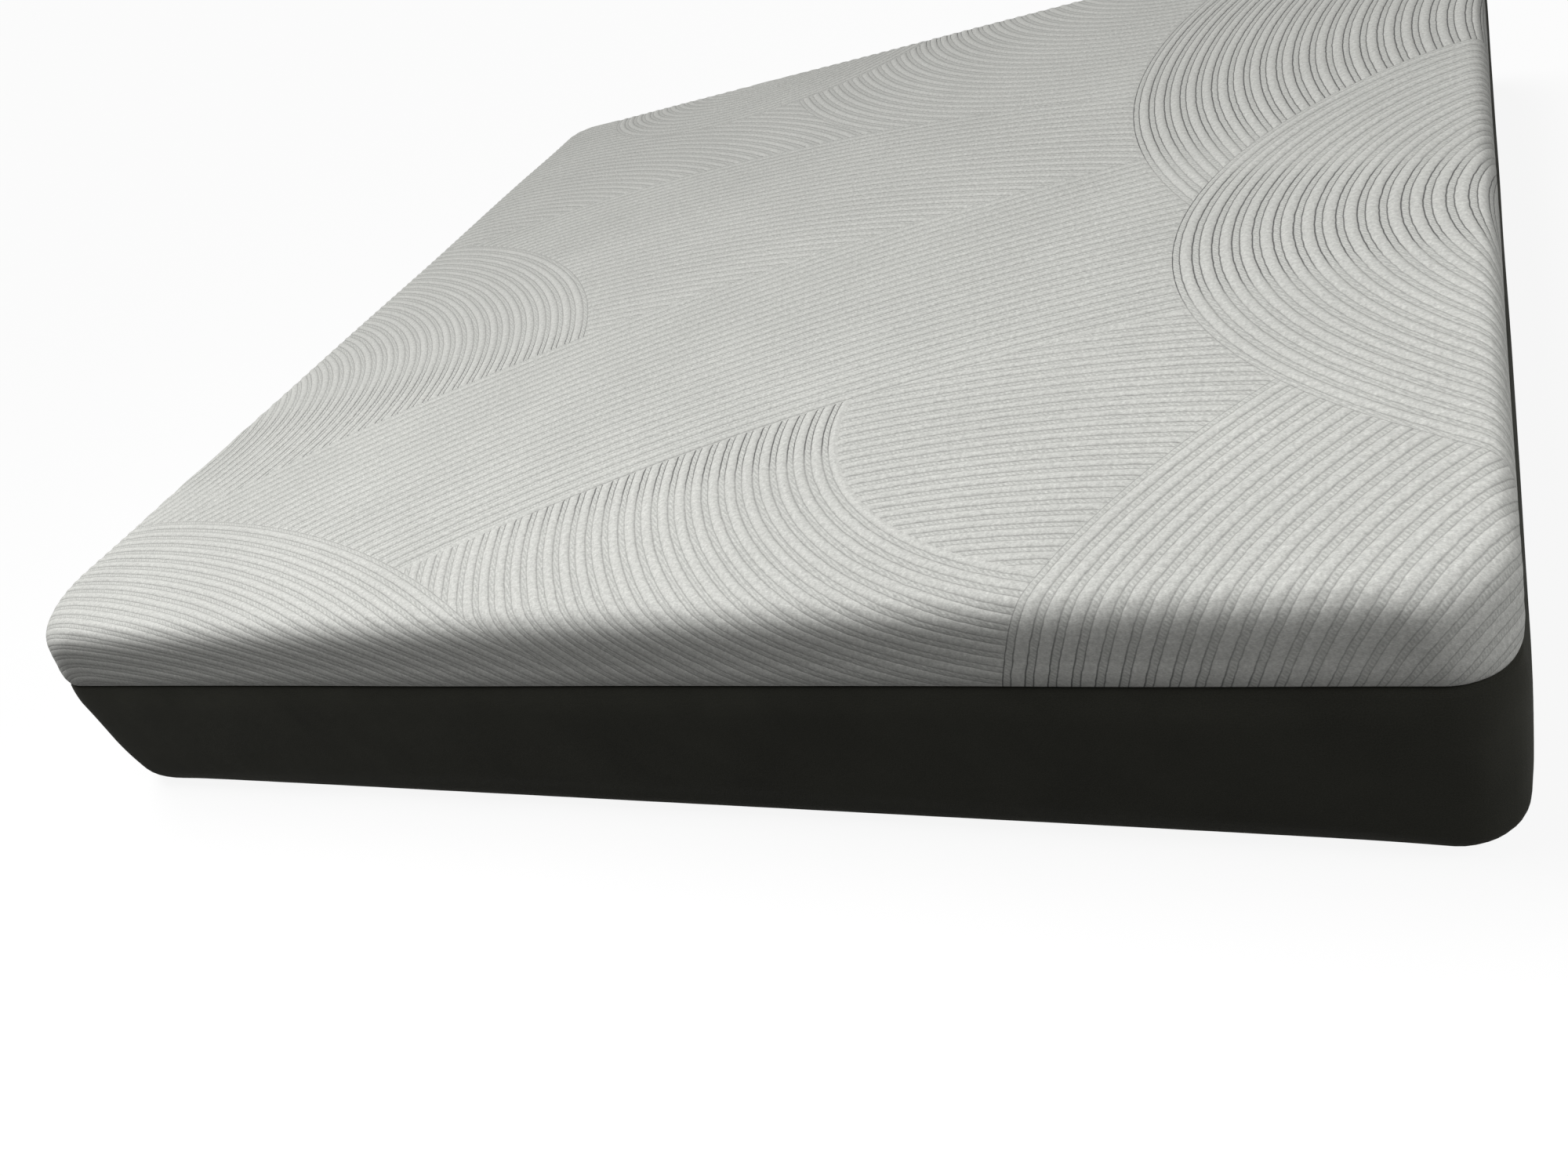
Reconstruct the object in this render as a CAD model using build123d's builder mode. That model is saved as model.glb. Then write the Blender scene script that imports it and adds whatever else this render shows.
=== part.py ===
from build123d import *
import os
from math import cos, radians, sin

# Memory foam mattress, in millimetres. X runs along the near side, Y away from it, Z up.
# The origin lies under the middle of the mattress, on the surface that it rests on.

# Overall size
mattress_length = 2032
mattress_width = 1930
mattress_height = 340

# Outer shape of the padded cover
corner_radius = 60           # border's upright corners, in plan
top_corner_radius = 100      # top panel's upright corners, at the foot of its rounded edge
foot_corner_radius = 110     # border's corners where it turns under
foot_corner_rise = 100       # how far up they widen from
corner_lead = 10             # how far below the seam the corners inside the cover begin to widen
corner_softening = 0.5       # growth of the corner radius for each mm that a section draws in
crown = 8                    # rise of the padded top above its edge
crown_run = 420              # width of the slope that rises to the crown
shoulder_run = 40            # how far in the rounded top edge reaches
shoulder_drop = 52           # how far down it reaches
shoulder_fullness = 3        # 2 is an ellipse, more is a squarer edge
seam_height = 226            # seam between the top panel and the border
seam_draw_in = 6             # how far the sides pull in at that seam
seam_roll = 45               # height of the border's roll into the seam
bottom_run = 33              # how far in the rounded bottom edge reaches
bottom_rise = 38             # how far up it reaches

# Cover and sock
side_padding = 12            # border and skirt of the top panel, with their quilted fibre
top_padding = 6              # top panel at its edge
panel_thickness = 3          # bottom panel and the hem round it
hem_width = 20               # flat strip of border turned under the edge
tape_width = 24              # binding behind the seam
tape_thickness = 1.2
ease = 1.5                   # slack between the cover, the sock and the foam
nest_run = 6                 # extra rounding of each inner shoulder, to stay clear of the outer one
sock_thickness = 1.5
sock_turn_under = 150        # sock drawn in under the foam

# Foam layers, from the top; the support core takes up the rest of the height
cooling_thickness = 38
memory_thickness = 51
transition_thickness = 51

# Zip in the far side of the border
zip_clear = 3                # from the rounded bottom edge up to the opening for the zip
zip_margin = 156             # from each end of the mattress to the opening for the zip
zip_opening = 26
zip_tape_thickness = 1.2
zip_slit = 0.4               # between the two tapes
tape_end = 45                # tape beyond each stop
coil_width = 3.5             # each row of coil
coil_height = 2.4
coil_round = 0.9             # rounding of a coil's outer corners
stop_length = 5
stop_height = 3.2
stop_round = 0.6
slide_gap = 0.4              # slider to coils, tapes and stops
slider_length = 15
slider_wall = 1.4
slider_corner = 2.5
bail_length = 9
bail_width = 2.4
bail_bar = 1.4
pull_length = 30
pull_width = 8
pull_thickness = 1.6
pull_gap = 0.3               # pull to slider and bail
pull_slot = 10               # length of the slot that clears the bail
pull_slot_width = 3.6
pull_hole_radius = 1.6
pull_tip_radius = 3.5

# Heights that follow
cover_edge_top = mattress_height - crown
cavity_top = cover_edge_top - top_padding
foam_top = cavity_top - sock_thickness
foam_bottom = panel_thickness + sock_thickness
cooling_bottom = foam_top - cooling_thickness
memory_bottom = cooling_bottom - memory_thickness
transition_bottom = memory_bottom - transition_thickness

# Insets from the overall box that follow
sock_inset = side_padding + ease
sock_inner_inset = sock_inset + sock_thickness
foam_inset = sock_inner_inset + ease
hem_inset = bottom_run + hem_width
hem_radius = foot_corner_radius - hem_width
sock_hem_inset = sock_inset + sock_turn_under

# Zip sizes that follow
zip_length = mattress_length - 2 * zip_margin
zip_height = bottom_rise + zip_clear + zip_opening / 2
coil_span = 2 * coil_width
channel_width = coil_span + 2 * slide_gap
channel_height = coil_height
slider_width = channel_width + 2 * slider_wall
slider_height = channel_height + slider_wall
bail_gap = pull_thickness + 2 * pull_gap
tape_back = mattress_width / 2 - side_padding
tape_face = tape_back + zip_tape_thickness
coil_end = zip_length / 2 - tape_end
slider_home = -(coil_end - slide_gap - slider_length / 2)
slider_travel = -2 * slider_home
pivot_height = slide_gap + slider_height + pull_gap + pull_thickness / 2
pivot_offset = -(bail_length / 2 - bail_bar - pull_gap - pull_thickness / 2)

# Steps of each rounded edge, as angles from the upright wall
shoulder_steps = [0, 15, 30, 42, 54, 66, 78, 90]
bottom_steps = [0, 22.5, 45, 67.5, 90]
foot_steps = [0, 0.5, 1]
roll_steps = [0, 0.25, 0.5, 0.75, 1]
lip_steps = [0, 0.35, 0.7]
crown_steps = [0, 0.25, 0.5, 0.75, 1]

os.makedirs("parts", exist_ok=True)


def section(inset, height, radius):
    with BuildSketch(Plane.XY.offset(height)) as plan:
        RectangleRounded(mattress_length - 2 * inset, mattress_width - 2 * inset, radius)
    return plan.sketch


def prism(inset, bottom, top, radius, mode=Mode.ADD):
    extrude(section(inset, bottom, radius), amount=top - bottom, mode=mode)


def stack(levels, mode=Mode.ADD, ruled=False):
    loft([section(*level) for level in levels], ruled=ruled, mode=mode)


def wall_radius(inset):
    return corner_radius - inset


def top_radius(inset):
    return top_corner_radius - inset


def shoulder_levels(wall_inset, top, run):
    # A superellipse from the upright wall in to the flat of the top
    levels = []
    for step in shoulder_steps:
        angle = radians(step)
        drawn_in = run * (1 - cos(angle) ** (2 / shoulder_fullness))
        height = top - shoulder_drop + shoulder_drop * sin(angle) ** (2 / shoulder_fullness)
        levels.append((wall_inset + drawn_in, height, top_radius(wall_inset) + corner_softening * drawn_in))
    return levels


def foot_radius(inset, rise):
    widening = max(0, 1 - rise / foot_corner_rise)
    return wall_radius(inset) + (foot_corner_radius - corner_radius) * widening**2


def bottom_levels(wall_inset, bottom):
    # A quarter ellipse from the flat of the underside out to the upright wall
    levels = []
    for step in bottom_steps:
        angle = radians(step)
        drawn_in = bottom_run * (1 - sin(angle))
        rise = bottom_rise * (1 - cos(angle))
        levels.append((wall_inset + drawn_in, bottom + rise, foot_radius(wall_inset, rise)))
    return levels


def foot_levels(wall_inset, bottom):
    # The lowest part of the upright wall, whose corners narrow upwards
    levels = []
    for step in foot_steps:
        rise = bottom_rise + (foot_corner_rise - bottom_rise) * step
        levels.append((wall_inset, bottom + rise, foot_radius(wall_inset, rise)))
    return levels


def lower_block(wall_inset, bottom, top, mode=Mode.ADD):
    stack(bottom_levels(wall_inset, bottom), mode, ruled=True)
    stack(foot_levels(wall_inset, bottom), mode, ruled=True)
    prism(wall_inset, bottom + foot_corner_rise, top, wall_radius(wall_inset), mode)


def rounded_block(wall_inset, bottom, top, run, mode=Mode.ADD):
    # Tight corners up to the seam, then wider ones up to the rounded top edge
    widening = seam_height - corner_lead
    tight = (wall_inset, widening, wall_radius(wall_inset))
    wide = (wall_inset, top - shoulder_drop, top_radius(wall_inset))
    lower_block(wall_inset, bottom, widening, mode)
    stack([tight, wide], mode, ruled=True)
    stack(shoulder_levels(wall_inset, top, run), mode, ruled=True)


# Light grey top panel: rounded shoulder, a lip that rolls into the seam, and a padded crown
shoulder_foot = cover_edge_top - shoulder_drop
lip_levels = []
for step in lip_steps:
    draw_in = seam_draw_in * (1 - step) ** 2
    radius = corner_radius + (top_corner_radius - corner_radius) * step
    lip_levels.append((draw_in, seam_height + (shoulder_foot - seam_height) * step, radius))
crown_levels = []
for step in crown_steps:
    inset = shoulder_run + crown_run * step
    rise = crown * (1 - (1 - step) ** 2)
    crown_levels.append((inset, cover_edge_top + rise, top_radius(0) + corner_softening * inset))

with BuildPart() as top_cover:
    stack(lip_levels + shoulder_levels(0, cover_edge_top, shoulder_run))
    stack(crown_levels)
    rounded_block(side_padding, panel_thickness, cavity_top, shoulder_run, Mode.SUBTRACT)
top_cover.part.label = "top_cover"
export_step(top_cover.part, "parts/top_cover.step")

# Charcoal border: rounded bottom edge, near-upright wall that rolls into the seam, and the zip's opening
roll_foot = seam_height - seam_roll
roll_levels = []
for step in roll_steps:
    roll_levels.append((seam_draw_in * step**2, roll_foot + seam_roll * step, wall_radius(0)))
zip_plane = Plane(origin=(0, tape_back, zip_height), x_dir=(-1, 0, 0), z_dir=(0, 1, 0))

with BuildPart() as border_band:
    stack(bottom_levels(0, 0))
    stack(foot_levels(0, 0))
    prism(0, foot_corner_rise, roll_foot, wall_radius(0))
    stack(roll_levels)
    rounded_block(side_padding, panel_thickness, cavity_top, shoulder_run, Mode.SUBTRACT)
    prism(hem_inset, 0, panel_thickness, hem_radius, Mode.SUBTRACT)
    with BuildSketch(zip_plane):
        Rectangle(zip_length, zip_opening)
    extrude(amount=side_padding, mode=Mode.SUBTRACT)
border_band.part.label = "border_band"
export_step(border_band.part, "parts/border_band.step")

# Underside of the cover, inside the border's hem
with BuildPart() as bottom_panel:
    prism(hem_inset, 0, panel_thickness, hem_radius)
bottom_panel.part.label = "bottom_panel"
export_step(bottom_panel.part, "parts/bottom_panel.step")

# Binding behind the seam, against both the top panel and the border
tape_inset = side_padding + tape_thickness
with BuildPart() as seam_tape:
    rounded_block(side_padding, panel_thickness, cavity_top, shoulder_run)
    rounded_block(tape_inset, panel_thickness, cavity_top, shoulder_run, Mode.SUBTRACT)
    split(bisect_by=Plane.XY.offset(seam_height - tape_width / 2), keep=Keep.TOP)
    split(bisect_by=Plane.XY.offset(seam_height + tape_width / 2), keep=Keep.BOTTOM)
seam_tape.part.label = "seam_tape"
export_step(seam_tape.part, "parts/seam_tape.step")

# Fire barrier sock, drawn over the foam and turned under it
sock_run = shoulder_run + nest_run
with BuildPart() as fire_sock:
    rounded_block(sock_inset, panel_thickness, cavity_top, sock_run)
    rounded_block(sock_inner_inset, foam_bottom, foam_top, sock_run, Mode.SUBTRACT)
    prism(sock_hem_inset, panel_thickness, foam_bottom, wall_radius(0), Mode.SUBTRACT)
fire_sock.part.label = "fire_sock"
export_step(fire_sock.part, "parts/fire_sock.step")

# Foam layers: slices of one rounded block
layers = {
    "support_core": (foam_bottom, transition_bottom),
    "transition_foam": (transition_bottom, memory_bottom),
    "memory_foam": (memory_bottom, cooling_bottom),
    "cooling_foam": (cooling_bottom, foam_top),
}
foam_run = sock_run + nest_run
for name, (low, high) in layers.items():
    with BuildPart() as layer:
        rounded_block(foam_inset, foam_bottom, foam_top, foam_run)
        split(bisect_by=Plane.XY.offset(low), keep=Keep.TOP)
        split(bisect_by=Plane.XY.offset(high), keep=Keep.BOTTOM)
    layer.part.label = name
    export_step(layer.part, f"parts/{name}.step")

# Zip tapes, edge to edge across the opening in the border
tape_height = (zip_opening - zip_slit) / 2
tape_middle = (zip_opening + zip_slit) / 4
for name, side in {"zip_tape_upper": 1, "zip_tape_lower": -1}.items():
    with BuildPart() as tape:
        with BuildSketch(zip_plane):
            with Locations((0, side * tape_middle)):
                Rectangle(zip_length, tape_height)
        extrude(amount=zip_tape_thickness)
    tape.part.label = name
    export_step(tape.part, f"parts/{name}.step")

# Coils, two half-round rows side by side on the tapes
coil_plane = Plane(origin=(-coil_end, tape_face, zip_height), x_dir=(0, 1, 0), z_dir=(1, 0, 0))
for name, side in {"zip_coil_upper": 1, "zip_coil_lower": -1}.items():
    with BuildPart() as coil:
        with BuildSketch(coil_plane):
            with Locations((coil_height / 2, side * coil_width / 2)):
                Rectangle(coil_height, coil_width)
            fillet(vertices().group_by(Axis.X)[-1], radius=coil_round)
        extrude(amount=2 * coil_end)
    coil.part.label = name
    export_step(coil.part, f"parts/{name}.step")

# End stops on the tapes, one past each end of the coils
for name, side in {"zip_top_stop": -1, "zip_bottom_stop": 1}.items():
    stop_plane = Plane(
        origin=(side * (coil_end + stop_length / 2), tape_face, zip_height), x_dir=(-1, 0, 0), z_dir=(0, 1, 0)
    )
    with BuildPart() as stop:
        with BuildSketch(stop_plane):
            Rectangle(stop_length, channel_width)
        extrude(amount=stop_height)
        fillet(stop.edges().group_by(Axis.Y)[-1], radius=stop_round)
    stop.part.label = name
    export_step(stop.part, f"parts/{name}.step")

# Slider: a channel over both coils, with a bail on its back for the pull
slider_plane = Plane(origin=(slider_home, tape_face, zip_height), x_dir=(-1, 0, 0), z_dir=(0, 1, 0))
bail_plane = Plane(
    origin=(slider_home, tape_face + slide_gap + slider_height, zip_height - bail_width / 2),
    x_dir=(1, 0, 0),
    z_dir=(0, 0, 1),
)
bail_height = bail_gap + bail_bar
with BuildPart() as zip_slider:
    with BuildSketch(slider_plane.offset(slide_gap)):
        RectangleRounded(slider_length, slider_width, slider_corner)
    extrude(amount=slider_height)
    with BuildSketch(slider_plane.offset(slide_gap)):
        Rectangle(slider_length, channel_width)
    extrude(amount=channel_height, mode=Mode.SUBTRACT)
    with BuildSketch(bail_plane):
        with Locations((0, bail_height / 2)):
            Rectangle(bail_length, bail_height)
        fillet(vertices().group_by(Axis.Y)[-1], radius=bail_bar)
        with Locations((0, bail_gap / 2)):
            Rectangle(bail_length - 2 * bail_bar, bail_gap, mode=Mode.SUBTRACT)
    extrude(amount=bail_width)
zip_slider.part.label = "zip_slider"
export_step(zip_slider.part, "parts/zip_slider.step")

# Pull tab: a slotted plate whose round end bar lies under the bail
pivot_x = slider_home + pivot_offset
pivot_y = tape_face + pivot_height
pull_plane = Plane(origin=(pivot_x, pivot_y - pull_thickness / 2, zip_height), x_dir=(1, 0, 0), z_dir=(0, 1, 0))
pivot_plane = Plane(origin=(pivot_x, pivot_y, zip_height - pull_width / 2), x_dir=(1, 0, 0), z_dir=(0, 0, 1))
with BuildPart() as zip_pull:
    with BuildSketch(pull_plane):
        with Locations((pull_length / 2, 0)):
            Rectangle(pull_length, pull_width)
        fillet(vertices().group_by(Axis.X)[-1], radius=pull_tip_radius)
        with Locations((pull_slot / 2, 0)):
            Rectangle(pull_slot, pull_slot_width, mode=Mode.SUBTRACT)
        with Locations((pull_length - pull_width / 2, 0)):
            Circle(pull_hole_radius, mode=Mode.SUBTRACT)
    extrude(amount=pull_thickness)
    with BuildSketch(pivot_plane):
        Circle(pull_thickness / 2)
    extrude(amount=pull_width)
zip_pull.part.label = "zip_pull"
export_step(zip_pull.part, "parts/zip_pull.step")

print("slider travel", slider_travel, "pull pivot", pivot_x, pivot_y, zip_height)
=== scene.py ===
import math

import bpy
import numpy as np
from mathutils import Matrix, Vector


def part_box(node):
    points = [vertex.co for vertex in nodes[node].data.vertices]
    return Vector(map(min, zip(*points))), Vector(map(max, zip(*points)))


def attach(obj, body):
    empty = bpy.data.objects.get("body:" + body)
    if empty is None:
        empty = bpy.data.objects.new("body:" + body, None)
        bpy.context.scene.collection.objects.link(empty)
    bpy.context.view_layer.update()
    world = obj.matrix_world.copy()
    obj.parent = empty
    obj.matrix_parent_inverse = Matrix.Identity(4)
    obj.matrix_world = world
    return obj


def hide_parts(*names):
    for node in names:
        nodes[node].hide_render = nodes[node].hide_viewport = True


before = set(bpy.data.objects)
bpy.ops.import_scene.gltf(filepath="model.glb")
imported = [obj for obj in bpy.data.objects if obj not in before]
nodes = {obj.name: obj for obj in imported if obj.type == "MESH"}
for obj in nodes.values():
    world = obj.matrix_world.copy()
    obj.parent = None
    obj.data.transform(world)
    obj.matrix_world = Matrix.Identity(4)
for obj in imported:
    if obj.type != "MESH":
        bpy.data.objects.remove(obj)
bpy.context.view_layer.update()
scene = bpy.context.scene
print("frame loaded:", len(nodes), "nodes")

# Outer shape of the zipped cover, in metres
cover = {
    "halfLength": 1.016,
    "halfWidth": 0.965,
    "height": 0.340,
    "corners": (0.073, 0.060, 0.045, 0.060),  # radii at the seam: near left and right, far left and right
    "topCorners": (0.136, 0.100, 0.040, 0.100),  # at the top of the rounded edge
    "footCorners": (0.120, 0.060, 0.090, 0.090),  # where the border turns under
    "footCornerRise": 0.110,
    "cornerSoftening": 0.5,  # growth of a top corner for each metre that a row draws in
    "crown": 0.008,
    "crownRun": 0.42,
    "shoulderRun": 0.040,
    "shoulderDrop": 0.052,
    "shoulderFullness": 3.0,
    "seam": 0.226,
    "seamDrawIn": 0.006,
    "seamCurl": 4,  # how late the side draws in to the seam
    "bottomRun": 0.033,
    "bottomRise": 0.038,
    "hem": 0.020,
}
edgeTop = cover["height"] - cover["crown"]
shoulderFoot = edgeTop - cover["shoulderDrop"]
tiny = 1e-9  # keeps a division from meeting nothing

# Light grey top panel, in metres
topCloth = {
    "spacing": 0.003,
    "zone": 0.33,  # reach of each corner, where the rows bend round it
    "shoulderSteps": 600,
    "lipSteps": 80,
    "rowTurn": 3,  # how late the rows turn to the corners on their way down
    "foldTurn": 6,  # the same for the folds of the flat cloth
    "turnedEdge": ((0.0025, 0.0012), (0.008, 0.0008)),  # behind the seam: how far back and down
    "cageSpacing": 0.036,
    "mostSwell": 0.003,
    "unevenness": 0.0012,
    "unevenSize": 0.5,
    "seed": 11,
}


def layRows(half, inset, zone, spacing, marks=()):
    # Rows across the cloth: the straight part, then a share of the zone that bends round each corner
    straight = half - zone
    knots = sorted({-straight, straight, *marks, *(-m for m in marks)})
    middle = [np.array([knots[0]])]
    for start, end in zip(knots, knots[1:]):
        count = max(1, round((end - start) / spacing))
        middle.append(np.linspace(start, end, count + 1)[1:])
    middle = np.concatenate(middle)
    count = max(2, round((zone - inset) / spacing))
    share = np.arange(1, count + 1) / count
    part = np.concatenate([np.full(count, -straight), middle, np.full(count, straight)])
    reach = np.concatenate([share[::-1], np.zeros(len(middle)), share])
    side = np.concatenate([np.full(count, -1.0), np.sign(middle), np.full(count, 1.0)])
    return np.stack([part, reach, side])


def placeRows(rowX, rowY, zone, inset, radius):
    # Points and outward directions on the rounded outline that each pair of rows lies on
    partX, shareX, sideX = rowX
    partY, shareY, sideY = rowY
    most = np.maximum(shareX, shareY)
    safe = np.where(most > 0, most, 1)
    alongX, alongY = shareX / safe, shareY / safe
    span = zone - inset
    lead = span - radius
    bend = math.pi / 2 * radius
    path = np.where(alongY >= 1, alongX, 2 - alongY) / 2 * (2 * lead + bend)
    turn = np.clip((path - lead) / np.maximum(radius, tiny), 0, math.pi / 2)
    cornerX = np.minimum(path, lead) + radius * np.sin(turn)
    cornerY = lead + radius * np.cos(turn) - np.maximum(0, path - lead - bend)
    corner = (shareX > 0) & (shareY > 0)
    x = partX + sideX * np.where(corner, cornerX, alongX * span)
    y = partY + sideY * np.where(corner, cornerY, alongY * span)
    outX = sideX * np.where(corner, np.sin(turn), alongX)
    outY = sideY * np.where(corner, np.cos(turn), alongY)
    return x, y, outX, outY


def roundGrid(countX, countY):
    # Indices of a grid's rim, counter-clockwise from above
    bottom = np.arange(countX)
    right = np.arange(1, countY) * countX + countX - 1
    top = np.arange(countX - 2, -1, -1) + (countY - 1) * countX
    left = np.arange(countY - 2, 0, -1) * countX
    return np.concatenate([bottom, right, top, left])


def closed(loop):
    # A loop with its start again at its end
    return np.concatenate([loop, loop[:1]])


def distanceAlong(line):
    # How far each point of a line is from its start, along it
    steps = np.linalg.norm(np.diff(line, axis=0), axis=1)
    return np.concatenate([[0], np.cumsum(steps)])


def spacedLine(points, spacing):
    # The same line with its points an even distance apart
    run = distanceAlong(points)
    even = np.linspace(0, run[-1], max(2, round(run[-1] / spacing)) + 1)
    return np.stack([np.interp(even, run, points[:, k]) for k in range(points.shape[1])], axis=1)


def edgeLine():
    # Section of the top panel from the flat of the top, over the shoulder, down to the seam: inset and height
    power = 2 / cover["shoulderFullness"]
    angle = np.linspace(math.pi / 2, 0, topCloth["shoulderSteps"])
    inset = cover["shoulderRun"] * (1 - np.clip(np.cos(angle), 0, 1) ** power)
    height = edgeTop - cover["shoulderDrop"] * (1 - np.sin(angle) ** power)
    fall = np.linspace(0, 1, topCloth["lipSteps"])[1:]
    lipInset = cover["seamDrawIn"] * fall ** cover["seamCurl"]
    lipHeight = shoulderFoot + (cover["seam"] - shoulderFoot) * fall
    return np.concatenate([np.stack([inset, height], axis=1), np.stack([lipInset, lipHeight], axis=1)])


def lineNormals(line):
    # Outward and upward parts of the normal along a section
    slope = np.gradient(line, axis=0)
    slope /= np.linalg.norm(slope, axis=1)[:, None]
    return np.stack([-slope[:, 1], -slope[:, 0]], axis=1)


def nearestCorner(sizes, sideX, sideY):
    # Which of the four corners' sizes holds on that side of the bed
    return np.take(sizes, 2 * (sideY > 0) + (sideX > 0))


def topCorner(inset, height, sideX, sideY):
    # Corner radius of the top panel: wide at the top, then down to the border's at the seam
    wide, tight = (nearestCorner(cover[key], sideX, sideY) for key in ("topCorners", "corners"))
    step = (height - cover["seam"]) / (edgeTop - cover["seam"])
    return tight + (wide + cover["cornerSoftening"] * inset - tight) * step


def borderCorner(inset, height, sideX, sideY):
    # Corner radius of the border: wider at its foot, and following the hem in underneath
    wide, tight = (nearestCorner(cover[key], sideX, sideY) for key in ("footCorners", "corners"))
    widening = max(0.0, 1 - height / cover["footCornerRise"])
    return tight + (wide - tight) * widening**2 - max(0.0, inset - cover["bottomRun"])


def dropRows(x, y, outX, outY, inset, radius):
    # Straight out from the rim to a rounded outline: where each point lands, and which way the outline faces
    halfX, halfY = cover["halfLength"] - inset, cover["halfWidth"] - inset
    fromX, fromY, stepX, stepY = np.abs(x), np.abs(y), np.abs(outX), np.abs(outY)
    toSide = (halfX - fromX) / np.maximum(stepX, tiny)
    toEnd = (halfY - fromY) / np.maximum(stepY, tiny)
    side = (stepX > tiny) & (fromY + toSide * stepY <= halfY - radius)
    end = (stepY > tiny) & (fromX + toEnd * stepX <= halfX - radius) & ~side
    awayX, awayY = fromX - (halfX - radius), fromY - (halfY - radius)
    lean = awayX * stepX + awayY * stepY
    toArc = np.sqrt(np.maximum(lean**2 - awayX**2 - awayY**2 + radius**2, 0)) - lean
    reach = np.where(side, toSide, np.where(end, toEnd, toArc))
    landX, landY = x + outX * reach, y + outY * reach
    faceX = np.where(side, 1.0, np.where(end, 0.0, (np.abs(landX) - halfX + radius) / radius)) * np.sign(x)
    faceY = np.where(side, 0.0, np.where(end, 1.0, (np.abs(landY) - halfY + radius) / radius)) * np.sign(y)
    return landX, landY, faceX, faceY


def joinRings(upper, lower):
    # Faces between two rings of cloth
    return np.stack([lower, np.roll(lower, -1), np.roll(upper, -1), upper], axis=1)


def joinTube(index):
    # Faces round a tube, from the indices of its rings
    turned = np.roll(index, -1, axis=1)
    return np.stack([index[:-1], turned[:-1], turned[1:], index[1:]], axis=-1).reshape(-1, 4)


def ringAt(x, y, z):
    return np.stack([x, y, np.full(len(x), z)], axis=1)


def gather(**rings):
    return {key: np.concatenate(parts) for key, parts in rings.items()}


def layGrid(inset, zone, spacing, cornerAt, height):
    # Crossing rows over the bed that bend round its corners: their points, the rows, and faces that look up
    rowsX = layRows(cover["halfLength"], inset, zone, spacing)
    rowsY = layRows(cover["halfWidth"], inset, zone, spacing)
    countX, countY = rowsX.shape[1], rowsY.shape[1]
    gridX, gridY = np.tile(rowsX, (1, countY)), np.repeat(rowsY, countX, axis=1)
    most = np.maximum(gridX[1], gridY[1])
    depth = inset + (1 - most) * (zone - inset)
    radius = cornerAt(inset, height, gridX[2], gridY[2])
    x, y, *_ = placeRows(gridX, gridY, zone, depth, radius * most)
    index = np.arange(countX * countY).reshape(countY, countX)
    quads = np.stack([index[:-1, :-1], index[:-1, 1:], index[1:, 1:], index[1:, :-1]], axis=-1)
    return x, y, rowsX, rowsY, quads.reshape(-1, 4)


def outward(x, y, power):
    # Away from the middle: straight across a side, and turning towards the corners
    spreadX = np.maximum(np.abs(x) - (cover["halfLength"] - topCloth["zone"]), 0) ** power * np.sign(x)
    spreadY = np.maximum(np.abs(y) - (cover["halfWidth"] - topCloth["zone"]), 0) ** power * np.sign(y)
    return spreadX / np.hypot(spreadX, spreadY), spreadY / np.hypot(spreadX, spreadY)


def layTopPanel(spacing):
    # The top panel as one cloth: a grid over the top, then rings down to the seam
    zone, inset = topCloth["zone"], cover["shoulderRun"]
    x, y, rowsX, rowsY, quads = layGrid(inset, zone, spacing, topCorner, edgeTop)
    riseX = np.clip((cover["halfLength"] - inset - np.abs(x)) / cover["crownRun"], 0, 1)
    riseY = np.clip((cover["halfWidth"] - inset - np.abs(y)) / cover["crownRun"], 0, 1)
    z = edgeTop + cover["crown"] * (1 - (1 - riseX) ** 2) * (1 - (1 - riseY) ** 2)
    points = [np.stack([x, y, z], axis=1)]
    normals = [np.tile([0.0, 0.0, 1.0], (len(x), 1))]
    cloth = [np.stack([x, y], axis=1)]
    quads = [quads]
    rim = roundGrid(rowsX.shape[1], rowsY.shape[1])
    section = spacedLine(edgeLine(), spacing)
    facing = lineNormals(section)
    rimX, rimY = x[rim], y[rim]
    outX, outY = outward(rimX, rimY, topCloth["rowTurn"])
    foldX, foldY = outward(rimX, rimY, topCloth["foldTurn"])
    spot = cloth[0][rim]
    before, upper = points[0][rim], rim
    for k in range(1, len(section)):
        radius = topCorner(*section[k], rimX, rimY)
        x, y, faceX, faceY = dropRows(rimX, rimY, outX, outY, section[k, 0], radius)
        points.append(ringAt(x, y, section[k, 1]))
        normals.append(ringAt(faceX * facing[k, 0], faceY * facing[k, 0], facing[k, 1]))
        # Where this ring lies on the flat cloth
        step = points[-1] - before
        slide = step[:, 1] * foldX - step[:, 0] * foldY
        fall = np.sqrt(np.maximum(np.sum(step**2, axis=1) - slide**2, 0))
        spot = spot + np.stack([foldX * fall - foldY * slide, foldY * fall + foldX * slide], axis=1)
        before = points[-1]
        cloth.append(spot)
        lower = len(points[0]) + (k - 1) * len(rim) + np.arange(len(rim))
        quads.append(joinRings(upper, lower))
        upper = lower
    return gather(points=points, normals=normals, cloth=cloth, quads=quads) | {
        "lastRing": upper,
        "gridX": rowsX[0] + rowsX[1] * rowsX[2] * (zone - inset),
        "gridY": rowsY[0] + rowsY[1] * rowsY[2] * (zone - inset),
        "rim": rim,
        "run": distanceAlong(section),
    }


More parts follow.
